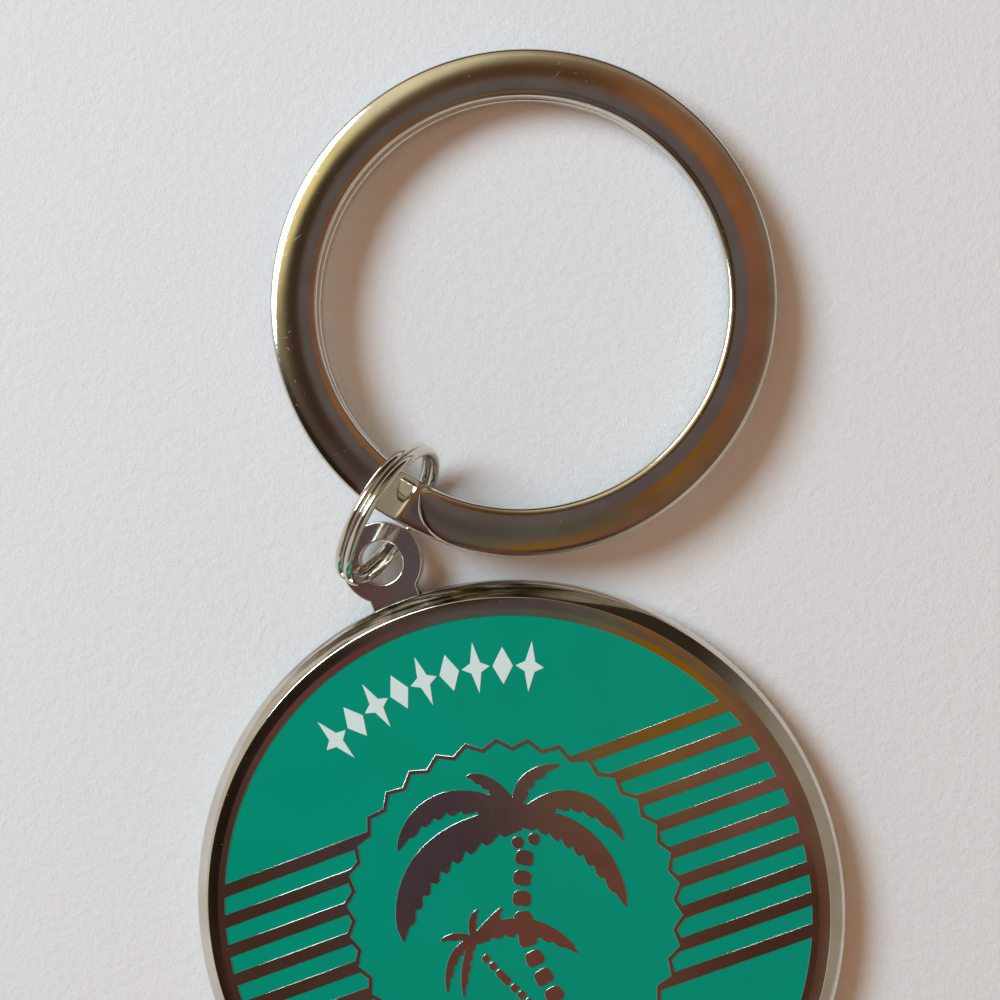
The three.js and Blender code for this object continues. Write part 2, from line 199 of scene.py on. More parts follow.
SMALL_TRUNK_BEADS = {"count": 8, "half_width": 0.27, "half_height": 0.25}
COCONUTS = [(1.9, 3.95), (2.95, 3.8)]
COCONUT_RADIUS = 0.4
ISLAND = {"half_width": 4.6, "base": -8.7, "shore": -8.1, "top": -7.2, "steps": 24}
# How far a trunk's blocks widen towards its foot, and how round they are: 1 is round, 0 is square.
BLOCK_SHAPE = {"flare": 0.12, "roundness_across": 0.55, "roundness_along": 0.7}
BLADE_ROOT = 0.12
BLADE_TIP_HALF = 0.06
# Leaflets: where the first one ends, the straight stretch and the notch are shares of a leaflet's
# length, the depth is a share of the half width, and no notch lies past last_notch along the frond.
LEAFLET = {"first_end": 0.9, "straight": 0.3, "notch": 0.16, "depth": 0.34, "last_notch": 0.97}


def frond(crown, shape):
    """Outline of one frond: a smooth upper side, and a lower side stepped into leaflets."""
    def half_width(along):
        swell = math.sin(math.pi * (BLADE_ROOT + (1 - BLADE_ROOT) * along))
        return max(BLADE_TIP_HALF, shape["width"] / 2 * math.sqrt(max(0.0, swell)))

    def side_point(along, side, share):
        place, heading = bezier(crown, shape["bend"], shape["tip"], along)
        normal = Vector((-heading.y, heading.x)) * side
        return place + normal * half_width(along) * share

    _, first_heading = bezier(crown, shape["bend"], shape["tip"], 0.5)
    lower = -1 if first_heading.x > 0 else 1
    smooth = [side_point(step / FROND_STEPS, -lower, 1.0) for step in range(FROND_STEPS + 1)]
    stepped = [side_point(0.0, lower, 1.0)]
    teeth = shape["teeth"]
    for tooth in range(teeth):
        end = (tooth + LEAFLET["first_end"]) / (teeth + LEAFLET["first_end"])
        notch = end + LEAFLET["notch"] / teeth
        stepped.append(side_point(end - LEAFLET["straight"] / teeth, lower, 1.0))
        stepped.append(side_point(end, lower, 1.0))
        if notch < LEAFLET["last_notch"]:
            stepped.append(side_point(notch, lower, 1.0 - LEAFLET["depth"]))
    stepped.append(side_point(1.0, lower, 1.0))
    return smooth + stepped[::-1]


def polyline_point(points, along):
    """A point and heading at a share of the way along a line of points, by length."""
    corners = [Vector(p) for p in points]
    lengths = [(b - a).length for a, b in zip(corners, corners[1:])]
    rest = along * sum(lengths)
    for a, b, length in zip(corners, corners[1:], lengths):
        if rest <= length:
            break
        rest -= length
    heading = (b - a).normalized()
    return a + heading * min(rest, length), heading


def trunk_blocks(points, blocks):
    """A trunk of separate rounded blocks, each turned to follow the trunk's line."""
    outlines = []
    for index in range(blocks["count"]):
        place, heading = polyline_point(points, index / (blocks["count"] - 1))
        across = Vector((-heading.y, heading.x))
        outline = []
        for turn in (2 * math.pi * step / BLOCK_STEPS for step in range(BLOCK_STEPS)):
            c, s = math.cos(turn), math.sin(turn)
            half_width = blocks["half_width"] * (1 + BLOCK_SHAPE["flare"] * s)
            x = math.copysign(abs(c) ** BLOCK_SHAPE["roundness_across"], c) * half_width
            y = math.copysign(abs(s) ** BLOCK_SHAPE["roundness_along"], s) * blocks["half_height"]
            outline.append(place + across * x + heading * y)
        outlines.append(outline)
    return outlines


def island():
    half_width, base = ISLAND["half_width"], ISLAND["base"]
    outline = [Vector((-half_width, base)), Vector((half_width, base))]
    for step in range(ISLAND["steps"] + 1):
        angle = math.pi * step / ISLAND["steps"]
        height = ISLAND["shore"] + (ISLAND["top"] - ISLAND["shore"]) * math.sin(angle)
        outline.append(Vector((half_width * math.cos(angle), height)))
    return outline


def figure_outlines():
    outlines = [frond(TALL_PALM_CROWN, shape) for shape in TALL_PALM_FRONDS]
    outlines += [frond(SMALL_PALM_CROWN, shape) for shape in SMALL_PALM_FRONDS]
    outlines += [circle(COCONUT_RADIUS, BLOCK_STEPS, xy) for xy in COCONUTS]
    outlines += trunk_blocks(TALL_PALM_TRUNK, TALL_TRUNK_BLOCKS)
    outlines += trunk_blocks(SMALL_PALM_TRUNK, SMALL_TRUNK_BEADS)
    outlines.append(island())
    return outlines


# ---------------------------------------------------------------- planar regions
LEAST_TURN = 1e-4
SHORTEST_EDGE = 1e-4
# Below this, a corner is so sharp that its sideways move is held back.
LEAST_OVERLAP = 0.35


def signed_area(outline):
    return sum(a.x * b.y - b.x * a.y for a, b in zip(outline, outline[1:] + outline[:1])) / 2


def arrange(outlines):
    """Cuts the plane along all outlines. Gives the points, which input point each one is, and for
    each triangle its corners and the set of outlines that hold it."""
    points, faces = [], []
    for outline in outlines:
        first = len(points)
        ordered = range(first, first + len(outline))
        faces.append(list(ordered) if signed_area(outline) > 0 else list(reversed(ordered)))
        points.extend(outline)
    made, _, triangles, sources, _, holders = delaunay_2d_cdt(points, [], faces, 0, CLOSE)
    return made, sources, [(tuple(t), set(h)) for t, h in zip(triangles, holders)]


def region_loops(triangles):
    """Closed loops of point numbers around a set of counterclockwise triangles, region on the left."""
    directed = set()
    for corners in triangles:
        for a, b in zip(corners, corners[1:] + corners[:1]):
            directed.add((a, b))
    following = {}
    for a, b in sorted(directed):
        if (b, a) not in directed:
            following.setdefault(a, []).append(b)
    loops = []
    while following:
        start = next(iter(following))
        loop, here = [], start
        while True:
            loop.append(here)
            onward = following[here].pop()
            if not following[here]:
                del following[here]
            here = onward
            if here == start:
                break
        loops.append(loop)
    return loops


def tidy_loop(points):
    """Leaves out points that lie on a straight stretch or on top of the one before."""
    kept = []
    count = len(points)
    for index in range(count):
        before, here, after = points[index - 1], points[index], points[(index + 1) % count]
        if (here - before).length < SHORTEST_EDGE:
            continue
        turn = (here - before).normalized().cross((after - here).normalized())
        if abs(turn) > LEAST_TURN:
            kept.append(here)
    return kept


def moved_loop(points, inset):
    """The loop moved sideways into the region on its left."""
    result = []
    count = len(points)
    for index in range(count):
        first = (points[index] - points[index - 1]).normalized()
        second = (points[(index + 1) % count] - points[index]).normalized()
        normal = Vector((-first.y - second.y, first.x + second.x))
        overlap = 1 + first.dot(second)
        result.append(points[index] + normal * (inset / max(overlap, LEAST_OVERLAP)))
    return result


# ---------------------------------------------------------------- meshes from regions
def ring_of(bm, points, height):
    return [bm.verts.new((p.x * MM, p.y * MM, height * MM)) for p in points]


def join_rings(bm, lower, upper):
    for index in range(len(lower)):
        onward = (index + 1) % len(lower)
        bm.faces.new((lower[index], lower[onward], upper[onward], upper[index]))


def windings(outlines, places):
    """How many times all the outlines together turn counterclockwise around each place."""
    starts = np.array([p for outline in outlines for p in outline])
    ends = np.array([p for outline in outlines for p in outline[1:] + outline[:1]])
    spans = ends - starts
    counts = []
    for x, y in places:
        rising = (starts[:, 1] <= y) & (ends[:, 1] > y)
        falling = (starts[:, 1] > y) & (ends[:, 1] <= y)
        across = spans[:, 0] * (y - starts[:, 1]) - (x - starts[:, 0]) * spans[:, 1]
        counts.append(int((rising & (across > 0)).sum()) - int((falling & (across < 0)).sum()))
    return counts


def fill_rings(bm, rings, faces_up=True):
    """Flat face over what the rings turn around counterclockwise. Its border is a crisp edge."""
    outlines = [[Vector((v.co.x, v.co.y)) / MM for v in ring] for ring in rings]
    corners = [v for ring in rings for v in ring]
    height = corners[0].co.z
    made, sources, triangles = arrange(outlines)
    verts = []
    for point, source in zip(made, sources):
        verts.append(corners[source[0]] if source else bm.verts.new((point.x * MM, point.y * MM, height)))
    middles = [(made[a] + made[b] + made[c]) / 3 for (a, b, c), _ in triangles]
    for (triangle, _), turns in zip(triangles, windings(outlines, middles)):
        if turns > 0:
            bm.faces.new([verts[i] for i in (triangle if faces_up else triangle[::-1])])
    for ring in rings:
        for a, b in zip(ring, ring[1:] + ring[:1]):
            edge = bm.edges.get((a, b))
            if edge is not None:
                edge.smooth = False


def finish_mesh(bm, name, crisp_angle=38):
    """Smooth faces with crisp edges where the surface really turns, as a new object."""
    for face in bm.faces:
        face.smooth = True
    for edge in bm.edges:
        if len(edge.link_faces) == 2 and edge.calc_face_angle(0) > math.radians(crisp_angle):
            edge.smooth = False
    loose = [v for v in bm.verts if not v.link_faces]
    bmesh.ops.delete(bm, geom=loose, context="VERTS")
    mesh = bpy.data.meshes.new(name)
    bm.to_mesh(mesh)
    bm.free()
    piece = bpy.data.objects.new(name, mesh)
    bpy.context.scene.collection.objects.link(piece)
    return piece


def rounded_levels(depth_at_foot, top, rounding):
    """(inset, height) steps of an upright wall whose top edge is rounded."""
    levels = [(0.0, depth_at_foot)]
    for step in range(BEVEL_STEPS + 1):
        angle = math.pi / 2 * step / BEVEL_STEPS
        levels.append((rounding * (1 - math.cos(angle)), top - rounding + rounding * math.sin(angle)))
    return levels


def raise_region(bm, loops, levels):
    """A closed solid over a flat region, from its loops and the (inset, height) steps of its wall."""
    first, last = [], []
    for loop in loops:
        rings = [ring_of(bm, moved_loop(loop, inset), height) for inset, height in levels]
        for lower, upper in zip(rings, rings[1:]):
            join_rings(bm, lower, upper)
        first.append(rings[0])
        last.append(rings[-1])
    fill_rings(bm, first, faces_up=False)
    fill_rings(bm, last)


# ---------------------------------------------------------------- the face's cells
def slot_name(x, y):
    """The CAD node that fills the cell around a point outside the sun disc."""
    edge = bar_height(BARS["per_side"] - 1) + BARS["width"] / 2
    if abs(y) > edge - CLOSE:
        return "enamel_upper_field" if y > 0 else "enamel_lower_field"
    index = int((y - bar_height(0)) // BARS["pitch"]) + 1
    return f"enamel_slot_{'left' if x < 0 else 'right'}_{index}"


def face_cells():
    """Loops of each enamel cell, by the name of the CAD node that fills it."""
    tagged = [("field", circle(FIELD_RADIUS, ROUND_STEPS))]
    tagged.append(("sun_outer", zigzag(ZIGZAG["line"] / 2)))
    tagged.append(("sun_inner", zigzag(-ZIGZAG["line"] / 2)))
    tagged += [("bar", outline) for outline in bar_outlines()]
    tagged += [("figure", outline) for outline in figure_outlines()]
    points, _, triangles = arrange([outline for _, outline in tagged])
    cells = {}
    for corners, holders in triangles:
        tags = {tagged[index][0] for index in holders}
        if "sun_inner" in tags:
            name = None if "figure" in tags else "enamel_sun_field"
        elif "field" not in tags or "sun_outer" in tags or "bar" in tags:
            name = None
        else:
            middle = (points[corners[0]] + points[corners[1]] + points[corners[2]]) / 3
            name = slot_name(middle.x, middle.y)
        if name:
            cells.setdefault(name, []).append(corners)
    return {
        name: [tidy_loop([points[i] for i in loop]) for loop in region_loops(members)]
        for name, members in cells.items()
    }


# ---------------------------------------------------------------- medallion
def wall_half():
    """(radius, depth below the face) from the rim's edge to the wall's widest line."""
    edge = (FACE_RADIUS, RIM_CROWN_SLOPE * (FACE_RADIUS - FLAT_RIM_RADIUS) + RIM_CROWN_DROP)
    bevel = [
        bezier(edge, WALL["bevel_bend"], WALL["bevel_end"], step / WALL_STEPS)[0]
        for step in range(WALL_STEPS)
    ]
    widest = (RADIUS, WALL["widest_depth"])
    bulge = [
        bezier(WALL["bevel_end"], WALL["bulge_bend"], widest, step / WALL_STEPS)[0]
        for step in range(WALL_STEPS + 1)
    ]
    return bevel + bulge


def rim_profile():
    """(radius, height) from the back's edge, up the wall and over the crowned rim."""
    half = wall_half()
    back = [(FACE_RADIUS - inset, height) for inset, height in BACK_EDGE]
    lower = [(point.x, point.y) for point in half[1:]]
    upper = [(point.x, THICKNESS - point.y) for point in half[:0:-1]]
    crown = []
    for step in range(CROWN_STEPS + 1):
        share = (step / CROWN_STEPS) ** CROWN_CROWDING
        radius = FLAT_RIM_RADIUS + (FACE_RADIUS - RIM_EDGE_ROUND - FLAT_RIM_RADIUS) * (1 - share)
        drop = RIM_CROWN_SLOPE * (radius - FLAT_RIM_RADIUS) + RIM_CROWN_DROP * (1 - share) ** 2
        crown.append((radius, THICKNESS - drop))
    corner = Vector((half[0].x, THICKNESS - half[0].y))
    start = corner + Vector(RIM_EDGE_START)
    shoulder = [
        tuple(bezier(start, corner, crown[0], step / SHOULDER_STEPS)[0])
        for step in range(SHOULDER_STEPS)
    ]
    return back + lower + upper + shoulder + crown


def medallion(cells):
    """The casting: back, wall and rim, raised lines around the cells' floors, and the eyelet."""
    bm = bmesh.new()
    rings = [ring_of(bm, circle(radius, ROUND_STEPS), height) for radius, height in rim_profile()]
    for lower, upper in zip(rings, rings[1:]):
        join_rings(bm, lower, upper)
    fill_rings(bm, [rings[0]], faces_up=False)
    face_borders = [rings[-1]]
    for loops in cells.values():
        floor_borders = []
        for loop in loops:
            wall = [
                ring_of(bm, moved_loop(loop, -inset), height)
                for inset, height in rounded_levels(FLOOR_Z, THICKNESS, METAL_EDGE_ROUND)
            ]
            for lower, upper in zip(wall, wall[1:]):
                join_rings(bm, upper, lower)
            floor_borders.append(wall[0])
            face_borders.append(wall[-1][::-1])
        fill_rings(bm, floor_borders)
    fill_rings(bm, face_borders)
    add_eyelet(bm)
    return finish_mesh(bm, "medallion_casting")


def add_eyelet(bm):
    """The eyelet and its neck as one closed solid that reaches into the wall."""
    centre = (0, EYELET["distance"])
    disc, hole, neck = range(3)
    outlines = [
        circle(EYELET["outer"], EYELET_STEPS, centre),
        circle(EYELET["hole"], EYELET_STEPS, centre),
        rectangle(-NECK["half_width"], NECK["half_width"], NECK["start"], NECK["end"]),
    ]
    points, _, triangles = arrange(outlines)
    kept = [corners for corners, holders in triangles if holders & {disc, neck} and hole not in holders]
    loops = [tidy_loop([points[i] for i in loop]) for loop in region_loops(kept)]
    top = rounded_levels((EYELET["bottom"] + EYELET["top"]) / 2, EYELET["top"], EYELET["round"])
    bottom = [(inset, EYELET["bottom"] + EYELET["top"] - height) for inset, height in top[:0:-1]]
    raise_region(bm, loops, bottom + top)


# ---------------------------------------------------------------- enamel and print
def enamel_filling(name, loops):
    """One cell's enamel, lying a little below the metal and drawn up at its edge."""
    bm = bmesh.new()
    surface = THICKNESS - ENAMEL["drop"]
    levels = [
        (ENAMEL["gap"], FLOOR_Z + ENAMEL["floor_gap"]),
        (ENAMEL["gap"], THICKNESS - ENAMEL["edge_drop"]),
        (ENAMEL["gap"] + ENAMEL["edge_width"] / 3, surface + ENAMEL["edge_bend_rise"]),
        (ENAMEL["gap"] + ENAMEL["edge_width"], surface),
    ]
    raise_region(bm, loops, levels)
    return finish_mesh(bm, name + "_glaze", crisp_angle=60)


def lozenge():
    h, w = LOZENGE["half_height"], LOZENGE["half_width"]
    return [Vector((0, -h)), Vector((w, 0)), Vector((0, h)), Vector((-w, 0))]


def star():
    """Four points, two across and two longer ones up and down, with a waist between them."""
    side, waist, top = STAR["half_width"], STAR["waist"], STAR["half_height"]
    outline = []
    for corner, reach in enumerate((side, waist, top, waist) * 2):
        angle = math.pi * corner / 4
        outline.append(Vector((reach * math.cos(angle), reach * math.sin(angle))))
    return outline


def ornament_outline(index):
    """A star or a lozenge in turn, at its place on the arc below the upper rim."""
    outline = lozenge() if index % 2 else star()
    bearing = ORNAMENTS["span"] * (index / (ORNAMENTS["count"] - 1) - 0.5)
    turn = Matrix.Rotation(-math.radians(bearing), 2)
    return [turn @ corner + at_bearing(bearing, ORNAMENTS["radius"]) for corner in outline]


def printed_ornament(index):
    bm = bmesh.new()
    bottom = THICKNESS - ENAMEL["drop"]
    levels = rounded_levels(bottom, bottom + ORNAMENTS["thickness"], ORNAMENTS["round"])
    raise_region(bm, [ornament_outline(index)], levels)
    return finish_mesh(bm, f"white_ornament_{index + 1}_print")


# ---------------------------------------------------------------- split rings
HEADING_STEP = 0.01


def split_ring_place(ring, mean_radius, angle):
    """Place and heading on a two-turn ring that steps down once; the first turn is the upper one."""
    def place(at):
        share = min(1.0, max(0.0, (at - ring["jog_start"]) / ring["jog_span"]))
        fall = share * share * (3 - 2 * share)
        turn = math.radians(at)
        height = ring["pitch"] * (0.5 - fall)
        return Vector((mean_radius * math.cos(turn), mean_radius * math.sin(turn), height))

    heading = (place(angle + HEADING_STEP) - place(angle - HEADING_STEP)).normalized()
    return place(angle), heading


def ring_span(ring):
    """The angles between which a split ring's wire runs, almost two turns apart."""
    return (
        ring["jog_start"] + ring["jog_span"] - 360 + ring["end_gap"],
        ring["jog_start"] + 360 - ring["end_gap"],
    )


def sweep(name, ring, mean_radius, angles, section_at, to_frame):
    """Sweeps a closed section, given as (outwards, upwards) pairs, along a split ring."""
    bm = bmesh.new()
    rings = []
    for angle in angles:
        place, heading = split_ring_place(ring, mean_radius, angle)
        outwards = Vector((place.x, place.y, 0)).normalized()
        upwards = outwards.cross(heading)
        corners = [to_frame @ (place + outwards * x + upwards * y) for x, y in section_at(angle)]
        rings.append([bm.verts.new(corner * MM) for corner in corners])
    for before, after in zip(rings, rings[1:]):
        join_rings(bm, after, before)
    bm.faces.new(rings[0])
    bm.faces.new(rings[-1][::-1])
    bmesh.ops.recalc_face_normals(bm, faces=bm.faces[:])
    return finish_mesh(bm, name, crisp_angle=50)


def round_section(radius):
    turns = [2 * math.pi * step / WIRE_SIDES for step in range(WIRE_SIDES)]
    return [(radius * math.cos(turn), radius * math.sin(turn)) for turn in turns]


# The largest rounding of a flat wire's edges, as a share of half its width.
MOST_ROUNDED = 0.9


def flat_section(inner, outer, height, edge_round, crown):
    """A flat wire's section between two radial offsets, crowned a little, with rounded edges."""
    middle, half = (inner + outer) / 2, (outer - inner) / 2
    rounding = min(edge_round, MOST_ROUNDED * half)
    quarter = []
    for step in range(FLAT_WIRE_CORNER_STEPS + 1):
        turn = math.pi / 2 * step / FLAT_WIRE_CORNER_STEPS
        x = half - rounding * (1 - math.cos(turn))
        quarter.append((x, height / 2 - rounding * (1 - math.sin(turn))))
    flat = half - rounding
    top = quarter + [(flat * share, height / 2) for share in FLAT_WIRE_SHARES]
    top += [(-x, y) for x, y in quarter[::-1]]
    lowered = [(x, y - crown * (x / half) ** 2 * (1 if half > edge_round else 0)) for x, y in top]
    around = lowered + [(-x, -y) for x, y in lowered]
    return [(middle + x, y) for x, y in around]


def tip_reach(share):
    """How far a rounded tip has widened, 0 to 1, a share of the way along its taper."""
    left = 1 - min(1.0, max(0.0, share))
    return math.sqrt(1 - left * left)


def key_ring_section(angle):
    """The flat wire's section at an angle: whole, or narrowing to a rounded point near its ends."""
    start, end = ring_span(KEY_RING)
    from_end = min(angle - start, end - angle)
    half = KEY_RING["width"] / 2
    apex = KEY_RING_TIP["apex"] * half
    outer = apex + (half - apex) * tip_reach(from_end / KEY_RING_TIP["outer_taper"])
    inner = apex - (half + apex) * tip_reach(from_end / KEY_RING_TIP["inner_taper"])
    least = KEY_RING_TIP["least_half_width"]
    outer, inner = max(outer, apex + least), min(inner, apex - least)
    return flat_section(inner, outer, KEY_RING["height"], KEY_RING["edge_round"], KEY_RING["crown"])


def stations(start, end, step, taper):
    """Angles from start to end, closer together over the tapering ends."""
    fine = [taper * (i / TAPER_STEPS) ** 2 for i in range(TAPER_STEPS)]
    count = round((end - start - 2 * taper) / step)
    coarse = [start + taper + (end - start - 2 * taper) * i / count for i in range(count + 1)]
    return [start + f for f in fine] + coarse + [end - f for f in fine[::-1]]


def key_ring():
    """The flat ring, lying tilted with its edge just clear of the eyelet."""
    reach = KEY_RING["outer_radius"] + KEY_RING["eyelet_gap"] + EYELET["outer"]
    centre = at_bearing(KEY_RING["bearing"], reach) + Vector((0, EYELET["distance"]))
    tilt = math.radians(KEY_RING["tilt"])
    rise = KEY_RING["outer_radius"] * math.sin(tilt) + KEY_RING["floor_gap"]
    to_frame = (
        Matrix.Translation((centre.x, centre.y, rise))
        @ Matrix.Rotation(math.radians(270 - KEY_RING["bearing"]), 4, "Z")
        @ Matrix.Rotation(-tilt, 4, "Y")
        @ Matrix.Translation((0, 0, (KEY_RING["pitch"] + KEY_RING["height"]) / 2))
    )
    start, end = ring_span(KEY_RING)
    angles = stations(start, end, KEY_RING["step_angle"], KEY_RING_TIP["outer_taper"])
    mean_radius = KEY_RING["outer_radius"] - KEY_RING["width"] / 2
    return sweep("key_ring_coil", KEY_RING, mean_radius, angles, key_ring_section, to_frame)


def connector_ring():
    """The round-wire ring, leaning on its edge through the eyelet and the key ring."""
    to_frame = (
        Matrix.Translation(CONNECTOR["centre"])
        @ Matrix.Rotation(math.radians(90 - CONNECTOR["bearing"]), 4, "Z")
        @ Matrix.Rotation(math.radians(CONNECTOR["lean"]), 4, "X")
        @ Matrix.Rotation(math.radians(CONNECTOR["twist"]), 4, "Z")
    )
    start, end = ring_span(CONNECTOR)
    taper, end_share = CONNECTOR["end_taper"], CONNECTOR["end_share"]

    def section_at(angle):
        from_end = min(angle - start, end - angle)
        width_share = end_share + (1 - end_share) * tip_reach(from_end / taper)
        return round_section(CONNECTOR["wire"] / 2 * width_share)

    angles = stations(start, end, CONNECTOR["step_angle"], taper)
    return sweep("connector_coil", CONNECTOR, CONNECTOR["mean_radius"], angles, section_at, to_frame)


# ---------------------------------------------------------------- node helpers
class Nodes:
    """Short forms for building a node tree."""

    def __init__(self, tree):
        self.tree = tree

    def add(self, kind, inputs=None, **settings):
        node = self.tree.nodes.new(kind)
        for key, value in settings.items():
            setattr(node, key, value)
        for key, value in (inputs or {}).items():
            if isinstance(value, bpy.types.NodeSocket):
                self.tree.links.new(value, node.inputs[key])
            else:
                node.inputs[key].default_value = value
        return node

    def math(self, operation, *values):
        return self.add("ShaderNodeMath", dict(enumerate(values)), operation=operation).outputs[0]

    def vector(self, operation, *values, output=0):
        node = self.add("ShaderNodeVectorMath", dict(enumerate(values)), operation=operation)
        return node.outputs[output]

    def scale(self, vector, factor):
        return self.add("ShaderNodeVectorMath", {0: vector, "Scale": factor}, operation="SCALE").outputs[0]

    def ramp(self, value, low, high, to_low=0.0, to_high=1.0):
        inputs = {"Value": value, "From Min": low, "From Max": high, "To Min": to_low, "To Max": to_high}
        return self.add("ShaderNodeMapRange", inputs, clamp=True).outputs[0]

    def smooth(self, value, low, high):
        inputs = {"Value": value, "From Min": low, "From Max": high}
        return self.add("ShaderNodeMapRange", inputs, interpolation_type="SMOOTHSTEP").outputs[0]

    def mix(self, factor, a, b):
        node = self.add("ShaderNodeMix", data_type="RGBA")
        for index, value in ((0, factor), (6, a), (7, b)):
            if isinstance(value, bpy.types.NodeSocket):
                self.tree.links.new(value, node.inputs[index])
            else:
                node.inputs[index].default_value = value
        return node.outputs[2]

    def noise(self, vector, scale, detail=2.0, roughness=0.5):
        inputs = {"Vector": vector, "Scale": scale, "Detail": detail, "Roughness": roughness}
        return self.add("ShaderNodeTexNoise", inputs).outputs["Fac"]


def new_material(name):
    """A material with its nodes, its surface shader, and the object's own place in millimetres."""
    material = bpy.data.materials.new(name)
    material.use_nodes = True
    nodes = Nodes(material.node_tree)
    shader = material.node_tree.nodes["Principled BSDF"]
    place = nodes.add("ShaderNodeTexCoord").outputs["Object"]
    return material, nodes, shader, nodes.scale(place, 1 / MM)


def join_look(nodes, shader, colour, roughness, height, bump_strength, bump_depth):
    """Gives the surface shader its colour, its roughness and a bump of a depth in millimetres."""
    inputs = {"Height": height, "Strength": bump_strength, "Distance": bump_depth * MM}
    bump = nodes.add("ShaderNodeBump", inputs)
    nodes.tree.links.new(colour, shader.inputs["Base Color"])
    nodes.tree.links.new(roughness, shader.inputs["Roughness"])
    nodes.tree.links.new(bump.outputs[0], shader.inputs["Normal"])


# A sideways lean of the scratches, in radians, so that no wall has them exactly along it.
SCRATCH_LEAN = (0.1, 0.05)
# Two stretches, one after the other, that draw a noise out into long thin lines.
SCRATCH_STRETCHES = [(0.35, 1.0, 1.0), (0.25, 6.0, 6.0)]
SCRATCH_EDGE = 0.02


def scratches(nodes, place, turn, spacing, level):
    """Fine straight scratches in one direction: 1 where the noise passes the level, 0 beside it."""
    first, second = SCRATCH_STRETCHES
    inputs = {"Vector": place, "Rotation": (*SCRATCH_LEAN, math.radians(turn)), "Scale": first}
    turned = nodes.add("ShaderNodeMapping", inputs).outputs[0]
    stretched = nodes.add("ShaderNodeMapping", {"Vector": turned, "Scale": second}).outputs[0]
    lines = nodes.noise(stretched, spacing, 1.0)
    return nodes.ramp(lines, level, level + SCRATCH_EDGE)


def specks(nodes, place, per_mm, size, empty_share):
    """Scattered round specks of dust, with none in a share of the places where one could be."""
    cells = nodes.add("ShaderNodeTexVoronoi", {"Vector": place, "Scale": per_mm})
    dot = nodes.ramp(cells.outputs["Distance"], size, size * 0.5)
    chance = nodes.vector("DOT_PRODUCT", cells.outputs["Color"], (1, 0, 0), output=1)
    picked = nodes.math("GREATER_THAN", chance, empty_share)
    return nodes.math("MULTIPLY", dot, picked)


NICKEL_COLOUR = (0.74, 0.70, 0.63, 1)
NICKEL_STAIN = (0.66, 0.60, 0.52, 1)
# The colour of the painted dark reflection on the wall beside the eyelet.
WALL_PAINTED_DARK_REFLECTION = (0.10, 0.08, 0.035, 1)
NICKEL_ROUGHNESS = (0.05, 0.10)
# Sets of scratches: direction in degrees, noise scale per millimetre, and level.
SCRATCH_SETS = [(24, 3.2, 0.75), (-47, 2.7, 0.76), (78, 3.6, 0.77)]
# How much each kind of wear adds to the roughness, and how far it stands up or cuts in.
SCRATCH_WEAR = {"roughness": 0.12, "height": 0.08}
DUST_WEAR = {"roughness": 0.4, "height": 0.4}
GRAIN_HEIGHT = 0.03


def nickel(name, brushed_wall_and_painted_reflection=False):
    """Worn bright nickel: a faint cloudy stain, fine scratches and specks of dust, and on request grinding
    marks with a painted dark reflection on the wall.
    """
    material, nodes, shader, place = new_material(name)
    cloud = nodes.noise(place, 0.35, 3.0)
    colour = nodes.mix(nodes.smooth(cloud, 0.35, 0.7), NICKEL_COLOUR, NICKEL_STAIN)
    marks = 0.0
    for turn, spacing, level in SCRATCH_SETS:
        marks = nodes.math("MAXIMUM", marks, scratches(nodes, place, turn, spacing, level))
    dust = specks(nodes, place, per_mm=1.9, size=0.05, empty_share=0.8)
    grain = nodes.noise(place, 9.0, 2.0)
    scratched = nodes.math("MULTIPLY", marks, SCRATCH_WEAR["roughness"])
    dusty = nodes.math("MULTIPLY", dust, DUST_WEAR["roughness"])
    worn = nodes.math("ADD", scratched, dusty)
    roughness = nodes.math("ADD", worn, nodes.ramp(grain, 0.3, 0.8, *NICKEL_ROUGHNESS))
    cut = nodes.math("MULTIPLY", marks, SCRATCH_WEAR["height"])
    height = nodes.math("SUBTRACT", nodes.math("MULTIPLY", grain, GRAIN_HEIGHT), cut)
    height = nodes.math("ADD", height, nodes.math("MULTIPLY", dust, DUST_WEAR["height"]))
    # Real grinding marks in bump and roughness, plus a painted dark reflection in the wall's colour.
    if brushed_wall_and_painted_reflection:
        height, roughness, colour = add_wall_brushing_and_painted_reflection(nodes, place, height, roughness, colour)
    shader.inputs["Metallic"].default_value = 1.0
    join_look(nodes, shader, colour, roughness, height, bump_strength=0.35, bump_depth=0.004)
    return material


# The wall's grinding marks and its painted dark reflection: their turns are in radians from +Y, clockwise
# seen from above the face.
BRUSHING = {
    "middle": 0.05, "strong_within": 0.15, "faint_beyond": 0.75, "faint_amount": 0.12,
    "along": 12.0, "across": 9.0, "height": 2.4, "roughness": 0.10,
}


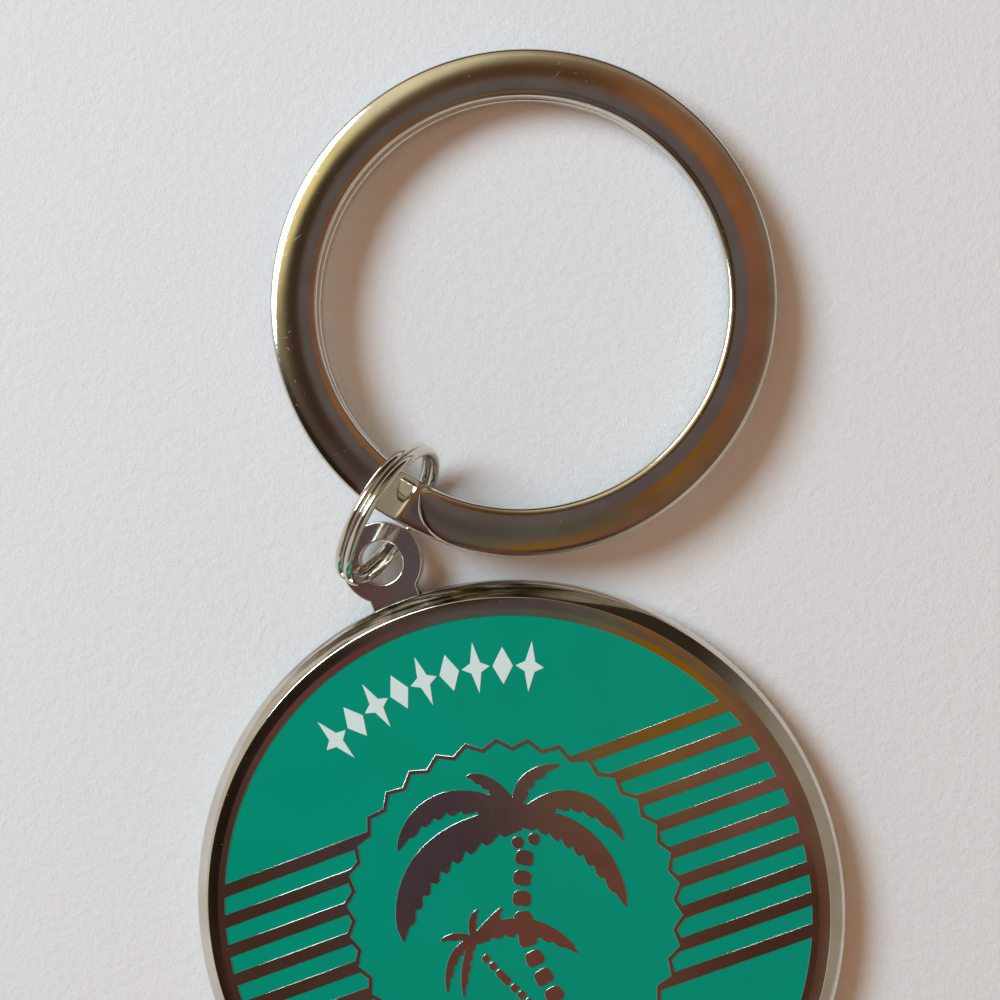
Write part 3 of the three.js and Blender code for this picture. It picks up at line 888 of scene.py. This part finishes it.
def add_wall_brushing_and_painted_reflection(nodes, place, height, roughness, colour):
    """Grinding marks around the medallion's wall, strong beside the eyelet and faint elsewhere, and dark
    blotches of painted reflection in the base colour beside the eyelet.
    """
    split = nodes.add("ShaderNodeSeparateXYZ", {0: place}).outputs
    angle = nodes.math("ARCTAN2", split[0], split[1])
    radius = nodes.vector("LENGTH", nodes.vector("MULTIPLY", place, (1, 1, 0)), output=1)
    turned = nodes.math("MULTIPLY", angle, BRUSHING["along"])
    around = nodes.add("ShaderNodeCombineXYZ", {0: turned, 1: radius, 2: split[2]}).outputs[0]
    across = BRUSHING["across"]
    stretched = nodes.vector("MULTIPLY", around, (1.0, across, across))
    lines = nodes.noise(stretched, 1.0, 4.0, 0.7)
    past_face = nodes.ramp(radius, FACE_RADIUS - 0.02, FACE_RADIUS + 0.05)
    within_wall = nodes.ramp(radius, RADIUS + 0.15, RADIUS + 0.02)
    on_wall = nodes.math("MULTIPLY", past_face, within_wall)
    away = nodes.math("ABSOLUTE", nodes.math("SUBTRACT", angle, BRUSHING["middle"]))
    beside = nodes.smooth(away, BRUSHING["faint_beyond"], BRUSHING["strong_within"])
    amount = nodes.math("MULTIPLY", on_wall, nodes.ramp(beside, 0.0, 1.0, BRUSHING["faint_amount"], 1.0))
    # Painted dark reflection: blotches beside the eyelet darken the wall's base colour where the wall would
    # mirror dark surroundings.
    painted_reflection_blotches = nodes.smooth(nodes.noise(stretched, 0.35, 3.0, 0.6), 0.42, 0.56)
    painted_reflection_mask = nodes.math("MULTIPLY", nodes.math("MULTIPLY", on_wall, beside), painted_reflection_blotches)
    ridges = nodes.math("MULTIPLY", nodes.math("MULTIPLY", lines, amount), BRUSHING["height"])
    height = nodes.math("ADD", height, ridges)
    roughness = nodes.math("ADD", roughness, nodes.math("MULTIPLY", amount, BRUSHING["roughness"]))
    return height, roughness, nodes.mix(painted_reflection_mask, colour, WALL_PAINTED_DARK_REFLECTION)


GREEN = (0.0, 0.303, 0.197, 1)
GREEN_DEEP = (0.0, 0.288, 0.186, 1)
WHITE = (0.74, 0.87, 0.84, 1)
WHITE_THIN = (0.68, 0.82, 0.79, 1)
PAPER = (0.80, 0.79, 0.785, 1)
PAPER_FIBRE = (0.84, 0.832, 0.828, 1)


def green_enamel():
    """Fired enamel: an even green with a soft cloud, a slow ripple and a fine grain."""
    material, nodes, shader, place = new_material("green_hard_enamel")
    cloud = nodes.noise(place, 0.22, 2.0)
    colour = nodes.mix(nodes.smooth(cloud, 0.3, 0.75), GREEN, GREEN_DEEP)
    grain = nodes.noise(place, 12.0, 2.0)
    ripple = nodes.noise(place, 0.8, 1.0)
    height = nodes.math("ADD", nodes.math("MULTIPLY", grain, 0.15), ripple)
    roughness = nodes.ramp(grain, 0.3, 0.8, 0.12, 0.2)
    join_look(nodes, shader, colour, roughness, height, bump_strength=0.2, bump_depth=0.004)
    shader.inputs["IOR"].default_value = 1.5
    shader.inputs["Specular IOR Level"].default_value = 0.15
    return material


def white_print():
    """Matt white ink, a little uneven."""
    material, nodes, shader, place = new_material("white_pad_print")
    grain = nodes.noise(place, 14.0, 3.0)
    colour = nodes.mix(nodes.smooth(grain, 0.3, 0.75), WHITE, WHITE_THIN)
    roughness = nodes.ramp(grain, 0.3, 0.8, 0.3, 0.45)
    join_look(nodes, shader, colour, roughness, grain, bump_strength=0.3, bump_depth=0.004)
    return material


def paper():
    """Pale uncoated paper with soft fibres."""
    material, nodes, shader, place = new_material("pale_paper")
    fibre = nodes.noise(place, 1.6, 4.0, 0.6)
    fine = nodes.noise(place, 6.0, 2.0, 0.6)
    colour = nodes.mix(fibre, PAPER, PAPER_FIBRE)
    height = nodes.math("ADD", fibre, nodes.math("MULTIPLY", fine, 0.4))
    roughness = nodes.ramp(fine, 0.3, 0.8, 0.75, 0.9)
    join_look(nodes, shader, colour, roughness, height, bump_strength=0.7, bump_depth=0.12)
    return material


# ---------------------------------------------------------------- camera, light and floor
CAMERA = {
    "eye": (25.8, 22.9, 128.9), "target": (8.35, 24.69, 0.0), "roll": 21.51,
    "lens": 72.0, "sensor": 36.0, "clip_start": 0.01, "clip_end": 10,
}


def place_camera():
    """The camera looks from eye to target, turned by roll about the line between them."""
    eye, target = Vector(CAMERA["eye"]), Vector(CAMERA["target"])
    roll = math.radians(CAMERA["roll"])
    backwards = (eye - target).normalized()
    right = Vector((math.sin(roll), math.cos(roll), 0)).cross(backwards).normalized()
    up = backwards.cross(right)
    turn = Matrix((right, up, backwards)).transposed().to_4x4()
    data = bpy.data.cameras.new("camera")
    data.lens, data.sensor_width = CAMERA["lens"], CAMERA["sensor"]
    data.clip_start, data.clip_end = CAMERA["clip_start"], CAMERA["clip_end"]
    camera = bpy.data.objects.new("camera", data)
    camera.matrix_world = Matrix.Translation(eye * MM) @ turn
    bpy.context.scene.collection.objects.link(camera)
    bpy.context.scene.camera = camera


# Soft colours of the dim room overhead, each at a slope from straight up: (x / z, y / z), colour.
# These rows aren't a plain studio. A scratch program worked out where each spot of mirrored metal in
# the photo looks and measured its colour, and the rows were then rounded and thinned out by hand.
OVERHEAD = [
    ((-0.17, -0.02), (0.10, 0.09, 0.10)),
    ((-0.13, -0.05), (0.10, 0.12, 0.09)),
    ((-0.085, -0.09), (0.26, 0.12, 0.00)),
    ((-0.05, -0.16), (0.20, 0.09, 0.07)),
    ((-0.07, -0.24), (0.07, 0.03, 0.02)),
    ((-0.21, -0.21), (0.17, 0.06, 0.04)),
    ((-0.24, -0.04), (0.15, 0.05, 0.05)),
    ((-0.24, -0.14), (0.06, 0.045, 0.06)),
    ((-0.34, -0.15), (0.07, 0.035, 0.025)),
    ((-0.65, -0.15), (0.03, 0.015, 0.01)),
    ((-0.07, 0.10), (0.09, 0.07, 0.08)),
    ((0.00, 0.075), (0.09, 0.10, 0.08)),
    ((0.05, 0.08), (0.24, 0.10, 0.01)),
    ((0.12, 0.13), (0.22, 0.09, 0.06)),
    ((0.14, 0.23), (0.30, 0.12, 0.04)),
    ((0.06, 0.31), (0.09, 0.045, 0.02)),
    ((-0.08, 0.27), (0.05, 0.025, 0.015)),
    ((-0.11, 0.18), (0.05, 0.025, 0.015)),
    ((0.015, 0.185), (0.13, 0.11, 0.105)),
    ((0.045, 0.145), (0.12, 0.10, 0.11)),
    ((-0.17, 0.40), (0.95, 0.80, 0.30)),
    ((-0.25, 0.52), (1.6, 1.5, 1.05)),
    ((-0.05, 0.50), (0.85, 0.80, 0.55)),
    ((-0.33, 0.09), (0.02, 0.012, 0.008)),
    ((-0.41, 0.10), (0.02, 0.012, 0.008)),
    ((-0.46, -0.03), (0.015, 0.010, 0.006)),
    ((0.50, -0.80), (1.0, 0.97, 0.75)),
    ((0.45, 0.10), (0.20, 0.14, 0.10)),
    ((0.40, 0.60), (0.30, 0.24, 0.18)),
    ((0.00, -0.60), (0.12, 0.09, 0.07)),
]
# Each patch's weight is its squared distance plus the softness, raised to this power.
PATCH_SOFTNESS = 0.0004
PATCH_FALLOFF = -2.0
LEAST_HEIGHT = 0.05
OVERHEAD_STARTS = (0.5, 0.85)
DARK_WALL = (0.035, 0.025, 0.016)
# Pale stretches of wall: the direction each lies in, and its colour.
PALE_WALLS = [((-0.97, 0.26, 0.0), (0.62, 0.58, 0.50)), ((0.71, -0.71, 0.0), (0.34, 0.30, 0.24))]
PALE_WALL_FADES = (0.2, 0.75)


def build_world():
    """The room around the object: dark and pale walls, and soft patches of colour overhead."""
    world = bpy.data.worlds.new("room")
    bpy.context.scene.world = world
    world.use_nodes = True
    nodes = Nodes(world.node_tree)
    direction = nodes.add("ShaderNodeTexCoord").outputs["Generated"]
    height = nodes.add("ShaderNodeSeparateXYZ", {0: direction}).outputs[2]
    slope = nodes.scale(direction, nodes.math("DIVIDE", 1.0, nodes.math("MAXIMUM", height, LEAST_HEIGHT)))
    total, weights = None, None
    for (x, y), colour in OVERHEAD:
        away = nodes.vector("SUBTRACT", slope, (x, y, 1.0))
        distance = nodes.vector("DOT_PRODUCT", away, away, output=1)
        weight = nodes.math("POWER", nodes.math("ADD", distance, PATCH_SOFTNESS), PATCH_FALLOFF)
        part = nodes.scale(colour, weight)
        total = part if total is None else nodes.vector("ADD", total, part)
        weights = weight if weights is None else nodes.math("ADD", weights, weight)
    overhead = nodes.scale(total, nodes.math("DIVIDE", 1.0, weights))
    walls = (*DARK_WALL, 1)
    for toward, pale in PALE_WALLS:
        facing = nodes.vector("DOT_PRODUCT", direction, toward, output=1)
        walls = nodes.mix(nodes.smooth(facing, *PALE_WALL_FADES), walls, (*pale, 1))
    colour = nodes.mix(nodes.smooth(height, *OVERHEAD_STARTS), walls, overhead)
    background = world.node_tree.nodes["Background"]
    world.node_tree.links.new(colour, background.inputs["Color"])
    background.inputs["Strength"].default_value = 1.0


def add_light(name, toward, distance, size, power, colour, mirrored=True):
    """A soft round light, seen from the object's middle in the direction toward, sizes in metres."""
    middle = (cad_low + cad_high) / 2
    data = bpy.data.lights.new(name, "AREA")
    data.shape, data.size = "DISK", size
    data.energy, data.color = power, colour
    light = bpy.data.objects.new(name, data)
    direction = Vector(toward).normalized()
    light.location = middle + direction * distance
    light.rotation_mode = "QUATERNION"
    light.rotation_quaternion = direction.to_track_quat("Z", "Y")
    light.visible_glossy = mirrored
    bpy.context.scene.collection.objects.link(light)


# The floor's size is in metres, and its height, just under the keychain, in millimetres.
FLOOR = {"segments": 8, "size": 1.5, "height": -0.02}


def add_floor():
    bm = bmesh.new()
    segments = FLOOR["segments"]
    bmesh.ops.create_grid(bm, x_segments=segments, y_segments=segments, size=FLOOR["size"])
    mesh = bpy.data.meshes.new("floor")
    bm.to_mesh(mesh)
    bm.free()
    floor = bpy.data.objects.new("floor", mesh)
    floor.location.z = FLOOR["height"] * MM
    mesh.materials.append(paper())
    bpy.context.scene.collection.objects.link(floor)


# ---------------------------------------------------------------- the assembly
def put_on(piece, node, body, material):
    """Puts one piece, with its material, on a body and in the place of its CAD node."""
    piece.data.materials.append(material)
    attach(piece, body)
    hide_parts(node)


def build_object():
    cells = face_cells()
    green, white = green_enamel(), white_print()
    # The casting's wall gets grinding marks and a painted dark reflection.
    casting_metal = nickel("nickel_casting", brushed_wall_and_painted_reflection=True)
    put_on(medallion(cells), "medallion_body", "medallion", casting_metal)
    for name, loops in cells.items():
        put_on(enamel_filling(name, loops), name, "medallion", green)
    for index in range(ORNAMENTS["count"]):
        put_on(printed_ornament(index), f"white_ornament_{index + 1}", "medallion", white)
    put_on(connector_ring(), "connector_ring", "connector", nickel("nickel_round_wire"))
    put_on(key_ring(), "key_ring", "keyring", nickel("nickel_flat_wire"))


bpy.context.scene.view_settings.view_transform = "Standard"
place_camera()
build_world()
# The powers and colours of both lights come from a fit to the photo's floor and shadow colours.
add_light(
    "window", toward=(-0.48, 0.72, 1.0), distance=0.5, size=0.26,
    power=2.08, colour=(0.655, 0.85, 1.0),
)
add_light(
    "bounce", toward=(0.1, -0.2, 1.0), distance=0.5, size=0.5,
    power=0.38, colour=(1.0, 0.28, 0.03), mirrored=False,
)
add_floor()
build_object()
